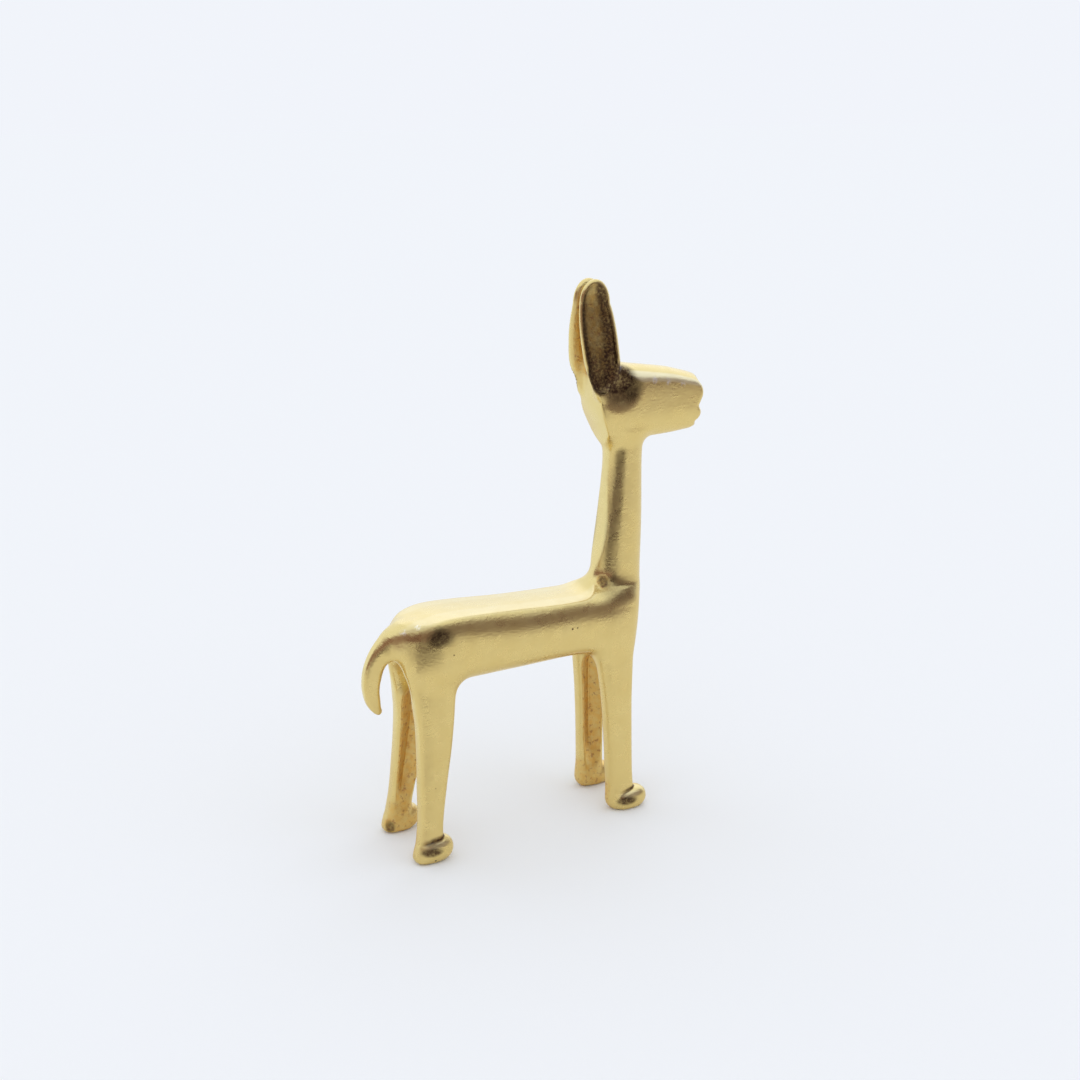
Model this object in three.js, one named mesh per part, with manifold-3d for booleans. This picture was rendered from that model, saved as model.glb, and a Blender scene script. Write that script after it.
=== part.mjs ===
// Cast llama figurine, 60 mm tall, standing free on four flat soles.
//
// Frame: millimetres, +X towards the muzzle, +Y towards the animal's left side, +Z up.
// The origin is on the standing surface, below the middle of the figurine's box.
//
// Fourteen pieces, each a closed solid: torso, neck, head, two ears, tail, four legs, four feet.
// They locate on short stub joints (a round pin on one piece, a blind socket in the other)
// with a solder gap between the faces.
import * as THREE from 'three';
import { mergeVertices } from 'three/addons/utils/BufferGeometryUtils.js';
import Module from 'manifold-3d';

const wasm = await Module();
wasm.setup();

// ---------------------------------------------------------------- driving dimensions, mm
const MUZZLE_X = 20.7;           // front of the muzzle
const TAIL_X = -20.7;            // rearmost point of the tail's bend
const TORSO_FRONT = 12.0;
const TORSO_REAR = -17.7;
const NECK_BASE = 26.2;          // height where the neck leaves the torso
const NECK_TOP = 41.2;           // height where the neck meets the jaw
const EAR_TIP = 60.0;
const SOLE = 0;                  // standing surface
const ANKLE = 2.2;               // height where a foot takes over from its leg
const GAP = 0.3;                 // solder gap between two pieces
const STUB_SIDES = 12;

const JOINT = { pin: 0.62, socket: 0.77, reach: 1.3, slack: 0.25 };
const LIMB_JOINT = { pin: 1.0, socket: 1.15, reach: 2.0, slack: 0.3 };

const GOLD = { color: 0xcfa94e, roughness: 0.32, metalness: 1.0 };

// ---------------------------------------------------------------- section tables, mm
// Each row is one section across a limb: its station, its centre, its half sizes, and the
// power of its superellipse (2 is an ellipse, 4 is nearly a box with round corners).

// station x, centre z, half height, half width, power of the upper half, power of the lower half
const TORSO = [
  [-18.0, 22.5, 2.9, 2.5, 2.4, 2.4],
  [-16.0, 22.5, 3.5, 3.6, 2.8, 2.5],
  [-13.5, 22.6, 3.75, 4.0, 3.6, 2.6],
  [-9.0, 22.6, 3.75, 4.1, 4.4, 2.8],
  [-3.5, 22.5, 3.6, 4.1, 4.6, 2.8],
  [2.5, 22.55, 3.5, 4.1, 4.4, 2.8],
  [6.5, 22.7, 3.7, 4.1, 3.4, 2.8],
  [12.0, 22.7, 4.1, 3.7, 2.8, 2.8],
];

// station z, centre x, half length, centre y, half width, power
const NECK = [
  [20.0, 9.4, 3.1, 0, 3.3, 2.4],
  [24.0, 9.7, 3.0, 0, 3.0, 2.5],
  [27.5, 9.9, 2.85, 0, 2.5, 2.7],
  [31.0, 10.05, 2.75, 0, 1.95, 2.9],
  [34.5, 10.35, 2.5, 0, 1.75, 3.0],
  [37.5, 10.5, 2.25, 0, 1.7, 3.0],
  [40.5, 10.65, 2.05, 0, 1.7, 3.0],
  [43.5, 10.6, 2.2, 0, 1.8, 2.8],
];

// station x, centre z, half height, half width, power of the upper half, power of the lower half
const HEAD = [
  [5.9, 47.8, 2.4, 1.9, 2.4, 2.4],
  [8.0, 46.7, 4.0, 2.4, 2.6, 2.4],
  [10.4, 46.6, 4.0, 2.5, 2.6, 2.4],
  [13.4, 46.35, 3.85, 2.2, 2.6, 2.6],
  [16.4, 46.05, 3.55, 2.0, 2.8, 2.8],
  [18.9, 45.8, 3.1, 1.8, 3.0, 2.8],
  [20.7, 45.5, 2.6, 1.5, 3.0, 2.8],
];

// station z, centre x, half length, centre y (left side), half width, power
const FORE_LEG = [
  [1.0, 8.8, 1.6, 3.45, 1.15, 2.8],
  [3.0, 8.75, 1.55, 3.3, 1.05, 3.0],
  [5.0, 8.7, 1.55, 3.2, 1.05, 3.0],
  [9.0, 8.6, 1.6, 3.1, 1.05, 3.0],
  [13.0, 8.5, 1.7, 3.0, 1.1, 3.0],
  [16.5, 8.4, 2.0, 2.9, 1.2, 3.0],
  [21.5, 8.4, 2.9, 2.7, 1.4, 2.8],
];
const HIND_LEG = [
  [1.0, -15.5, 1.4, 4.15, 1.2, 2.8],
  [3.0, -15.35, 1.35, 4.0, 1.1, 3.0],
  [5.0, -15.15, 1.35, 3.75, 1.1, 3.0],
  [8.5, -14.7, 1.6, 3.35, 1.1, 3.0],
  [12.0, -14.3, 1.9, 3.0, 1.1, 3.0],
  [15.0, -14.05, 2.1, 2.8, 1.15, 3.0],
  [17.5, -14.0, 2.35, 2.75, 1.2, 3.0],
  [21.5, -13.9, 3.0, 2.6, 1.4, 2.8],
];
const EAR = [
  [48.6, 7.9, 1.3, 1.7, 0.75, 2.2],
  [50.5, 7.6, 1.9, 1.75, 0.85, 2.4],
  [53.0, 7.1, 2.05, 1.55, 0.85, 2.4],
  [55.5, 6.75, 1.95, 1.3, 0.85, 2.4],
  [58.0, 6.5, 1.5, 0.9, 0.75, 2.2],
  [60.0, 6.4, 0.8, 0.6, 0.5, 2.0],
];

// station angle below (-) or above (+) the rear horizontal, bend radius, half depth, half width, power
const TAIL_BEND = { x: TAIL_X + 4.1, z: 20.2 };
const TAIL = [
  [-62, 4.15, 0.4, 0.45, 2.4],
  [-45, 4.0, 0.65, 0.6, 2.6],
  [-20, 3.55, 0.8, 0.65, 2.6],
  [10, 3.2, 0.9, 0.7, 2.6],
  [40, 3.5, 0.95, 0.75, 2.6],
  [70, 4.1, 1.05, 0.95, 2.6],
  [98, 4.5, 1.2, 1.2, 2.6],
];

// ---------------------------------------------------------------- sections and lofts
// A smooth curve through a section table: f(station) gives that section's numbers.
function sectionCurve(table) {
  const stations = table.map((row) => row[0]);
  const values = table.flatMap((row) => row.slice(1));
  const curve = new THREE.CubicInterpolant(stations, values, table[0].length - 1);
  return (station) => [...curve.evaluate(station)];
}

// A point on a superellipse at an angle, with half sizes a and b.
function superellipse(angle, a, b, power) {
  const c = Math.cos(angle);
  const s = Math.sin(angle);
  const reach = (Math.abs(c) ** power + Math.abs(s) ** power) ** (-1 / power);
  return [a * reach * c, b * reach * s];
}

// Stations along a limb, closer together in the two rounded ends.
// Each is [station, fraction of the full section], and both ends stop just short of a point.
function roundedStations(start, end, startRound, endRound, steps, capSteps = 3) {
  const rows = [];
  for (let i = 1; i <= capSteps; i += 1) {
    const turn = (i / capSteps) * (Math.PI / 2);
    rows.push([start + startRound * (1 - Math.cos(turn)), Math.sin(turn)]);
  }
  for (let i = 1; i < steps; i += 1) {
    rows.push([THREE.MathUtils.lerp(start + startRound, end - endRound, i / steps), 1]);
  }
  for (let i = capSteps; i >= 1; i -= 1) {
    const turn = (i / capSteps) * (Math.PI / 2);
    rows.push([end - endRound * (1 - Math.cos(turn)), Math.sin(turn)]);
  }
  return rows;
}

// A closed skin over rings of points, with a fan at each end.
function skin(rings, startTip, endTip) {
  const around = rings[0].length;
  const points = [startTip, ...rings.flat(), endTip];
  const index = [];
  for (let k = 0; k < around; k += 1) {
    const next = (k + 1) % around;
    index.push(0, 1 + next, 1 + k);
    for (let r = 0; r < rings.length - 1; r += 1) {
      const low = 1 + r * around;
      const high = low + around;
      index.push(low + k, low + next, high + next);
      index.push(low + k, high + next, high + k);
    }
    const last = 1 + (rings.length - 1) * around;
    index.push(last + k, last + next, points.length - 1);
  }
  const geometry = new THREE.BufferGeometry();
  geometry.setAttribute('position', new THREE.Float32BufferAttribute(points.flat(), 3));
  geometry.setIndex(index);
  return geometry;
}

// A limb that runs along X, such as the torso or the head. grow thickens it all round.
function limbAlongX(table, ends, around, steps, grow = 0) {
  const curve = sectionCurve(table);
  const rows = roundedStations(ends.start - grow, ends.end + grow, ends.startRound, ends.endRound, steps);
  const rings = rows.map(([x, size]) => {
    const [z, halfZ, halfY, upper, lower] = curve(x);
    const ring = [];
    for (let k = 0; k < around; k += 1) {
      const angle = (k / around) * 2 * Math.PI;
      const power = Math.sin(angle) > 0 ? upper : lower;
      const [dy, dz] = superellipse(angle, halfY + grow, halfZ + grow, power);
      ring.push([x, dy * size, z + dz * size]);
    }
    return ring;
  });
  const tip = (x) => [x, 0, curve(x)[0]];
  return skin(rings, tip(ends.start - grow), tip(ends.end + grow));
}

// A limb that stands along Z, such as the neck, a leg or an ear, on the left (side 1) or right (-1).
function limbAlongZ(table, ends, around, steps, side = 1, grow = 0) {
  const curve = sectionCurve(table);
  const rows = roundedStations(ends.start, ends.end, ends.startRound, ends.endRound, steps);
  const rings = rows.map(([z, size]) => {
    const [x, halfX, y, halfY, power] = curve(z);
    const ring = [];
    for (let k = 0; k < around; k += 1) {
      const [dx, dy] = superellipse((k / around) * 2 * Math.PI, halfX + grow, halfY + grow, power);
      ring.push([x + dx * size, side * y + dy * size, z]);
    }
    return ring;
  });
  const tip = (z) => {
    const [x, , y] = curve(z);
    return [x, side * y, z];
  };
  return skin(rings, tip(ends.start), tip(ends.end));
}

// The tail's curl: sections carried round a bend behind the rump.
function curl(table, bend, around, steps) {
  const curve = sectionCurve(table);
  const from = table[0][0];
  const to = table[table.length - 1][0];
  const place = (degrees, radius, y) => {
    const turn = THREE.MathUtils.degToRad(degrees);
    return [bend.x - radius * Math.cos(turn), y, bend.z + radius * Math.sin(turn)];
  };
  const rings = roundedStations(from, to, 8, 4, steps).map(([degrees, size]) => {
    const [radius, halfR, halfY, power] = curve(degrees);
    const ring = [];
    for (let k = 0; k < around; k += 1) {
      const [dr, dy] = superellipse((k / around) * 2 * Math.PI, halfR, halfY, power);
      ring.push(place(degrees, radius + dr * size, -dy * size));
    }
    return ring;
  });
  return skin(rings, place(from, curve(from)[0], 0), place(to, curve(to)[0], 0));
}

// ---------------------------------------------------------------- solids and booleans
function solid(geometry) {
  const bare = geometry.clone();
  bare.deleteAttribute('normal');
  bare.deleteAttribute('uv');
  const merged = mergeVertices(bare, 1e-4);
  return new wasm.Manifold(new wasm.Mesh({
    numProp: 3,
    vertProperties: new Float32Array(merged.attributes.position.array),
    triVerts: new Uint32Array(merged.index.array),
  }));
}

function geometryOf(manifold) {
  const { vertProperties, triVerts } = manifold.getMesh();
  const geometry = new THREE.BufferGeometry();
  geometry.setAttribute('position', new THREE.BufferAttribute(vertProperties, 3));
  geometry.setIndex(new THREE.BufferAttribute(triVerts, 1));
  geometry.computeVertexNormals();
  return geometry;
}

// A round stub from point a to point b, used as a pin or to cut a socket.
function stub(a, b, radius) {
  const from = new THREE.Vector3(...a);
  const to = new THREE.Vector3(...b);
  const rod = new THREE.CylinderGeometry(radius, radius, from.distanceTo(to), STUB_SIDES);
  const along = to.clone().sub(from).normalize();
  rod.applyQuaternion(new THREE.Quaternion().setFromUnitVectors(new THREE.Vector3(0, 1, 0), along));
  rod.translate(...from.clone().lerp(to, 0.5).toArray());
  return solid(rod);
}

function ball(centre, radii, across = 20, down = 10) {
  const shape = new THREE.SphereGeometry(1, across, down);
  shape.scale(...radii);
  shape.translate(...centre);
  return solid(shape);
}

function block(low, high) {
  const size = high.map((value, i) => value - low[i]);
  const shape = new THREE.BoxGeometry(...size);
  shape.translate(...high.map((value, i) => (value + low[i]) / 2));
  return solid(shape);
}

// ---------------------------------------------------------------- shapes shared by neighbours
const torsoEnds = { start: TORSO_REAR, end: TORSO_FRONT, startRound: 3.0, endRound: 3.2 };
const headEnds = { start: 6.0, end: MUZZLE_X, startRound: 1.6, endRound: 1.2 };

const torsoShape = (grow) => solid(limbAlongX(TORSO, torsoEnds, 28, 10, grow));
const headShape = (grow) => solid(limbAlongX(HEAD, headEnds, 24, 7, grow));

const legs = [
  { name: 'fore', table: FORE_LEG, socketX: 8.4, socketY: 2.6, toe: 9.35, footLength: 2.6 },
  { name: 'hind', table: HIND_LEG, socketX: -13.9, socketY: 2.5, toe: -15.15, footLength: 2.35 },
];
const sides = [
  { name: 'left', y: 1 },
  { name: 'right', y: -1 },
];

// The pin at the top of a leg. It goes up into the torso.
function hipStub(leg, side, radius, extra) {
  const x = leg.socketX;
  const y = side.y * leg.socketY;
  return stub([x, y, 17.0], [x, y, 19.2 + LIMB_JOINT.reach + extra], radius);
}

// The pin at the bottom of a leg. It goes down into the foot.
function ankleStub(leg, side, radius, extra) {
  const [x, , y] = sectionCurve(leg.table)(ANKLE);
  const foot = ANKLE - JOINT.reach + 0.2 - extra;
  return stub([x, side.y * y, ANKLE + 0.8], [x, side.y * y, foot], radius);
}

const neckStub = (radius, extra) => stub([9.9, 0, 28], [9.9, 0, NECK_BASE - LIMB_JOINT.reach - extra], radius);
const jawStub = (radius, extra) => stub([10.6, 0, 40], [10.6, 0, NECK_TOP + 0.9 + LIMB_JOINT.reach + extra], radius);
const rumpStub = (radius, extra) => stub([-18.3, 0, 23.0], [-15.6 + extra, 0, 23.0], radius);

function earStub(side, radius, extra) {
  const y = side.y * 1.5;
  return stub([8.4, y, 50.6], [8.9, y, 48.0 - extra], radius);
}

// ---------------------------------------------------------------- the pieces
// The torso: a long body with a flat back between two soft ridges, and a rounder belly.
function torso() {
  let shape = torsoShape(0);
  shape = shape.subtract(neckStub(LIMB_JOINT.socket, LIMB_JOINT.slack));
  shape = shape.subtract(rumpStub(JOINT.socket, JOINT.slack));
  for (const leg of legs) {
    for (const side of sides) {
      shape = shape.subtract(hipStub(leg, side, LIMB_JOINT.socket, LIMB_JOINT.slack));
    }
  }
  return shape;
}

// The neck: a squared column, wide at the shoulders and narrow at the jaw.
function neck() {
  const ends = { start: 22.5, end: 43.2, startRound: 1.0, endRound: 0.6 };
  let shape = solid(limbAlongZ(NECK, ends, 24, 9));
  shape = shape.subtract(torsoShape(GAP));
  shape = shape.subtract(block([0, -5, 18], [20, 5, NECK_BASE - 1.6]));
  shape = shape.subtract(headShape(GAP));
  shape = shape.add(neckStub(LIMB_JOINT.pin, 0));
  return shape.add(jawStub(LIMB_JOINT.pin, 0));
}

// The head: a blunt wedge with a domed top, a nostril notch and a mouth slit across the front.
function head() {
  let shape = headShape(0);
  shape = shape.subtract(ball([MUZZLE_X + 0.55, 0, 45.4], [0.9, 2.2, 0.55], 12, 8));
  shape = shape.subtract(ball([MUZZLE_X + 0.35, 0, 43.6], [0.9, 2.4, 0.22], 12, 8));
  shape = shape.subtract(jawStub(LIMB_JOINT.socket, LIMB_JOINT.slack));
  for (const side of sides) {
    shape = shape.subtract(earShape(side, GAP));
    shape = shape.subtract(earStub(side, JOINT.socket, JOINT.slack));
  }
  return shape;
}

function earShape(side, grow) {
  const ends = { start: 48.7 - grow, end: EAR_TIP, startRound: 1.2, endRound: 1.6 };
  return solid(limbAlongZ(EAR, ends, 18, 7, side.y, grow));
}

// An ear: a pointed leaf, hollowed on its outer face so that a thin rim is left.
function ear(side) {
  const scoop = EAR.map(([z, x, halfX, y, halfY, power]) => [z, x, halfX - 0.4, y + 0.75, halfY, power]);
  const ends = { start: 50.3, end: EAR_TIP - 0.6, startRound: 1.4, endRound: 1.4 };
  let shape = earShape(side, 0);
  shape = shape.subtract(solid(limbAlongZ(scoop, ends, 16, 5, side.y)));
  return shape.add(earStub(side, JOINT.pin, 0));
}

// The tail: a flattened strip that curls down behind the rump and ends in a blunt point.
function tail() {
  let shape = solid(curl(TAIL, TAIL_BEND, 14, 12));
  shape = shape.subtract(torsoShape(GAP));
  return shape.add(rumpStub(JOINT.pin, 0));
}

// A leg: a tapered bar with a V channel along the face towards the other leg.
function leg(kind, side) {
  const ends = { start: ANKLE, end: 21.0, startRound: 0.15, endRound: 0.3 };
  let shape = solid(limbAlongZ(kind.table, ends, 20, 8, side.y));
  const channel = kind.table.map(([z, x, halfX, y, halfY]) => [z, x, halfX * 0.75, y - halfY, halfY * 1.3, 1.4]);
  const run = { start: 4.4, end: 15.2, startRound: 1.2, endRound: 1.6 };
  shape = shape.subtract(solid(limbAlongZ(channel, run, 12, 5, side.y)));
  shape = shape.subtract(torsoShape(GAP));
  shape = shape.add(hipStub(kind, side, LIMB_JOINT.pin, 0));
  return shape.add(ankleStub(kind, side, JOINT.pin, 0));
}

// A foot: a bean-shaped pad with a flat sole, longer towards the toe.
function foot(kind, side) {
  const [, , y] = sectionCurve(kind.table)(1.0);
  let shape = ball([kind.toe, side.y * y, 1.3], [kind.footLength, 1.5, 1.5]);
  const above = { start: ANKLE - GAP, end: 6.0, startRound: 0.1, endRound: 0.5 };
  shape = shape.subtract(solid(limbAlongZ(kind.table, above, 20, 2, side.y, GAP)));
  shape = shape.subtract(block([-30, -10, -5], [30, 10, SOLE]));
  return shape.subtract(ankleStub(kind, side, JOINT.socket, JOINT.slack));
}

// ---------------------------------------------------------------- the assembly
function piece(name, manifold) {
  const material = new THREE.MeshStandardMaterial(GOLD);
  const mesh = new THREE.Mesh(geometryOf(manifold), material);
  mesh.name = name;
  return mesh;
}

const body = new THREE.Group();
body.add(piece('torso', torso()));
body.add(piece('tail', tail()));

const headAndNeck = new THREE.Group();
headAndNeck.add(piece('neck', neck()));
headAndNeck.add(piece('head', head()));

const limbs = new THREE.Group();
for (const side of sides) {
  headAndNeck.add(piece(`ear_${side.name}`, ear(side)));
  for (const kind of legs) {
    limbs.add(piece(`${kind.name}_leg_${side.name}`, leg(kind, side)));
    limbs.add(piece(`${kind.name}_foot_${side.name}`, foot(kind, side)));
  }
}

const figurine = new THREE.Group();
figurine.add(body, headAndNeck, limbs);

export default figurine;
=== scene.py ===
"""Looks of the cast llama figurine: one surface carved from smooth solids, cut into its pieces."""

import math

import bmesh
import bpy
import numpy as np
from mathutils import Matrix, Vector


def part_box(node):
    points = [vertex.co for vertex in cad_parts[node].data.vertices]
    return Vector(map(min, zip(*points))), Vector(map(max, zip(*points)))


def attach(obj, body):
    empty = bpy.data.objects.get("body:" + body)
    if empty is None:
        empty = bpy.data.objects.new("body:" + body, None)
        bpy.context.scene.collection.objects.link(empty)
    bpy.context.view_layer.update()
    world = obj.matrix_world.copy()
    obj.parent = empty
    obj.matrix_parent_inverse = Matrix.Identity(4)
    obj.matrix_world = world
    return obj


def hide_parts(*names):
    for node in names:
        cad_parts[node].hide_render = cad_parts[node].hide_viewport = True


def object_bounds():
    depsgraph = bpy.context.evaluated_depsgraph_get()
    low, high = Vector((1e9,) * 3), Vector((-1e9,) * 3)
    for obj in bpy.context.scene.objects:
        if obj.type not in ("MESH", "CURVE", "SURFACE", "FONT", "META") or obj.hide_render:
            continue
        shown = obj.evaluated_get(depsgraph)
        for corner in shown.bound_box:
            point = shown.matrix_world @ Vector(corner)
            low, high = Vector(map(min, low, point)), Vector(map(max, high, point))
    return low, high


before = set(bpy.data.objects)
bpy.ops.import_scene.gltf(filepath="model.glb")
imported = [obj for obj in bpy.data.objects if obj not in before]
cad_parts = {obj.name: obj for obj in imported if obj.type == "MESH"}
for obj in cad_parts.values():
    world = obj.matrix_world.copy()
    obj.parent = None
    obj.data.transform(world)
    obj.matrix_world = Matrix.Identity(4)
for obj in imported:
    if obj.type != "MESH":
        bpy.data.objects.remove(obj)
cad_low, cad_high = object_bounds()

# ---------------------------------------------------------------- sizes, mm
# One millimetre in metres, the cell of the block of distances, and the block's margin.
MM = 0.001
CELL = 0.15
MARGIN = 1.2


def node_box(name):
    """Low and high corner of a CAD node, mm."""
    low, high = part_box(name)
    return np.array(low) / MM, np.array(high) / MM


# The CAD's ends: muzzle, rump and chest along X, tip of the ears.
MUZZLE = node_box("head")[1][0]
RUMP, CHEST = node_box("torso")[0][0], node_box("torso")[1][0]
EAR_TIP = node_box("ear_left")[1][2]
# Where the pieces meet: heights, and the x of the tail's root.
HEEL_Z = 2.5
HIP_Z = 17.9
NECK_Z = 27.8
JAW_Z = 41.3
EAR_Z = 50.5
TAIL_X = RUMP - 0.05

# Rows of a table are sections: station, then centre, half sizes and superellipse powers.
# x | centre z, half height above, half height below, half width, power above, power below
TORSO = [
    (RUMP + 0.1, 22.4, 4.2, 3.0, 3.3, 2.2, 2.6),
    (-15.0, 22.5, 4.7, 3.5, 3.75, 3.0, 3.2),
    (-13.5, 22.6, 4.75, 3.6, 3.95, 3.0, 3.4),
    (-11.5, 22.6, 4.8, 3.7, 4.05, 2.9, 3.2),
    (-9.0, 22.6, 4.8, 3.7, 4.1, 2.6, 3.0),
    (-3.5, 22.4, 4.6, 3.5, 4.05, 2.4, 2.8),
    (2.5, 22.3, 4.6, 3.3, 4.05, 2.4, 2.8),
    (6.5, 22.2, 4.4, 3.3, 3.95, 2.4, 3.2),
    (CHEST, 22.0, 4.0, 3.0, 3.5, 2.3, 2.5),
]
# z | centre x, half length, half width, power
NECK = [
    (18.0, 9.1, 2.4, 2.2, 2.2),
    (20.0, 9.2, 2.35, 2.4, 2.2),
    (22.0, 9.4, 2.55, 2.65, 2.2),
    (23.2, 9.55, 2.7, 2.7, 2.2),
    (24.3, 9.7, 2.85, 2.65, 2.2),
    (25.4, 9.87, 2.93, 2.55, 2.15),
    (26.6, 9.9, 2.95, 2.25, 2.1),
    (28.2, 9.95, 2.95, 2.12, 2.05),
    (32.0, 10.15, 2.85, 2.0, 2.05),
    (35.0, 10.4, 2.6, 1.9, 2.05),
    (37.5, 10.55, 2.4, 1.82, 2.05),
    (40.5, 10.65, 2.25, 1.8, 2.1),
    (43.5, 10.6, 2.4, 1.8, 2.4),
]
# x | centre z, half height above, half height below, half width, power above, power below
HEAD = [
    (5.6, 47.0, 5.0, 2.9, 2.05, 3.0, 2.4),
    (8.0, 46.4, 5.2, 4.0, 2.4, 3.2, 2.5),
    (10.4, 46.2, 5.2, 3.9, 2.35, 3.2, 2.6),
    (13.4, 46.0, 5.0, 3.6, 2.15, 3.2, 2.6),
    (16.4, 45.9, 4.8, 3.4, 2.0, 3.2, 2.6),
    (18.9, 45.7, 4.6, 3.0, 1.85, 3.2, 2.6),
    (MUZZLE + 0.6, 45.6, 4.2, 2.8, 1.6, 3.0, 2.4),
]
# The top of the head, x | z, and the muzzle's front from brow to chin, z | x.
CROWN = [
    (8.0, 51.4),
    (10.4, 50.85),
    (13.0, 50.42),
    (16.0, 49.92),
    (17.6, 49.5),
    (19.1, 49.05),
    (20.2, 48.55),
    (21.2, 47.8),
]
PROFILE = [
    (42.3, 18.3),
    (42.75, 19.2),
    (43.2, 19.7),
    (43.65, 19.62),
    (44.0, 20.05),
    (44.5, 20.3),
    (44.95, 20.22),
    (45.35, 20.0),
    (45.8, 20.2),
    (46.6, 20.55),
    (47.4, 20.45),
    (48.2, 19.95),
]
# z | centre x, half length, centre y, half width, power
FORE_LEG = [
    (-0.3, 8.9, 1.75, 3.45, 1.2, 2.8),
    (0.9, 8.88, 1.75, 3.45, 1.18, 2.8),
    (2.0, 8.8, 1.63, 3.4, 1.12, 3.0),
    (3.2, 8.78, 1.57, 3.3, 1.05, 3.2),
    (5.0, 8.72, 1.57, 3.2, 1.05, 3.2),
    (9.0, 8.62, 1.62, 3.1, 1.05, 3.2),
    (13.0, 8.5, 1.75, 2.95, 1.1, 3.2),
    (16.5, 8.4, 2.05, 2.75, 1.15, 3.0),
    (19.0, 8.35, 2.35, 2.45, 1.3, 2.8),
    (21.0, 8.4, 2.6, 2.15, 1.3, 2.6),
    (23.0, 8.5, 2.7, 1.8, 1.3, 2.6),
    (25.5, 8.6, 2.6, 1.4, 1.1, 2.6),
]
HIND_LEG = [
    (-0.3, -15.6, 1.85, 4.15, 1.25, 2.8),
    (0.9, -15.56, 1.8, 4.15, 1.22, 2.8),
    (2.0, -15.5, 1.5, 4.1, 1.18, 3.0),
    (3.2, -15.43, 1.35, 3.98, 1.1, 3.2),
    (5.0, -15.2, 1.35, 3.75, 1.1, 3.2),
    (8.5, -14.75, 1.6, 3.35, 1.1, 3.2),
    (12.0, -14.3, 1.9, 3.0, 1.1, 3.2),
    (15.0, -14.05, 2.12, 2.75, 1.15, 3.2),
    (17.5, -14.0, 2.4, 2.55, 1.2, 3.0),
    (20.0, -13.9, 2.8, 2.25, 1.3, 2.8),
    (22.5, -13.6, 3.0, 1.85, 1.3, 2.6),
    (25.5, -13.3, 3.0, 1.4, 1.1, 2.6),
]
EAR = [
    (47.0, 7.9, 1.5, 1.75, 0.8, 2.2),
    (49.0, 7.5, 1.9, 1.72, 0.85, 2.2),
    (51.0, 7.03, 2.15, 1.6, 0.85, 2.2),
    (53.0, 6.82, 2.22, 1.36, 0.8, 2.2),
    (55.0, 6.68, 2.18, 1.05, 0.74, 2.2),
    (57.0, 6.56, 1.94, 0.72, 0.65, 2.1),
    (58.6, 6.35, 1.5, 0.5, 0.6, 2.0),
    (EAR_TIP, 6.25, 1.3, 0.35, 0.5, 2.0),
]
# The hollow of the ear: its foot and top, how far out and back it sits, and the rim left round it.
SCOOP_LOW, SCOOP_HIGH = 48.0, EAR_TIP - 0.5
SCOOP_OUT, SCOOP_RIM, SCOOP_BACK = 0.4, 0.46, 0.18
# The hollow of the temple, under the ear: centre x, y, z and radii.
TEMPLE = ((8.9, 3.5, 48.8), (2.7, 1.8, 2.5))
# The tail bends round a centre, x and z.
TAIL_CENTRE = (-16.6, 20.2)
# degrees round the bend, from the tip below the rear horizontal up to the rump
# | bend radius, half depth, half width
TAIL = [
    (-57, 4.6, 0.36, 0.36),
    (-55, 4.55, 0.45, 0.44),
    (-51, 4.42, 0.58, 0.5),
    (-47, 4.26, 0.7, 0.54),
    (-42, 4.1, 0.8, 0.58),
    (-36, 3.94, 0.87, 0.6),
    (-20, 3.56, 0.97, 0.64),
    (0, 3.26, 1.04, 0.68),
    (23, 3.18, 1.05, 0.75),
    (42, 3.26, 1.1, 0.9),
    (60, 3.42, 1.25, 1.15),
    (75, 3.7, 1.45, 1.45),
    (95, 4.1, 1.4, 1.5),
    (130, 4.4, 0.8, 1.0),
]
# The back's line, x | z, and the line behind the neck up to the poll, z | x.
BACK = [
    (-18.5, 24.3),
    (-17.5, 24.95),
    (-16.5, 25.5),
    (-15.0, 26.1),
    (-13.0, 26.55),
    (-10.0, 26.55),
    (-4.0, 26.15),
    (2.0, 25.85),
    (8.0, 25.8),
]
NAPE = [
    (24.0, 6.6),
    (27.5, 6.9),
    (30.5, 7.6),
    (33.0, 8.0),
    (37.0, 8.25),
    (40.5, 8.35),
    (43.0, 7.7),
    (46.0, 6.5),
    (49.0, 6.2),
    (52.0, 6.0),
]
# The lobes of the hooves: centre x, y, z and radii. Each is tilted, with its front end up.
HIND_LOBE = ((-15.05, 4.25, 1.35), (2.1, 1.38, 1.55))
FORE_LOBE = ((9.8, 3.65, 1.05), (2.25, 1.38, 1.45))
LOBE_TILT = math.radians(5)
SOLE_Z = 0.02
# The arch between the hind legs, under the root of the tail: centre and radii.
CROTCH = ((-17.6, 0, 18.9), (4.2, 2.0, 3.0))
# The faint dark reflection painted down the side of the neck, and the crease from the ear down to the
# jaw, x, y, z.
PAINTED_NECK_REFLECTION = [(9.4, 1.8, 41.1), (8.8, 1.75, 38.9), (8.5, 1.6, 35.5), (8.1, 1.6, 31.7), (7.7, 1.8, 28.6)]
JAW_CREASE = [(6.1, 2.1, 45.5), (6.9, 2.05, 44.1), (7.5, 2.0, 43.2), (7.55, 1.8, 42.2)]
# The sides of the animal, as signs of y.
LEFT, RIGHT, BOTH = (1,), (-1,), (-1, 1)
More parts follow.
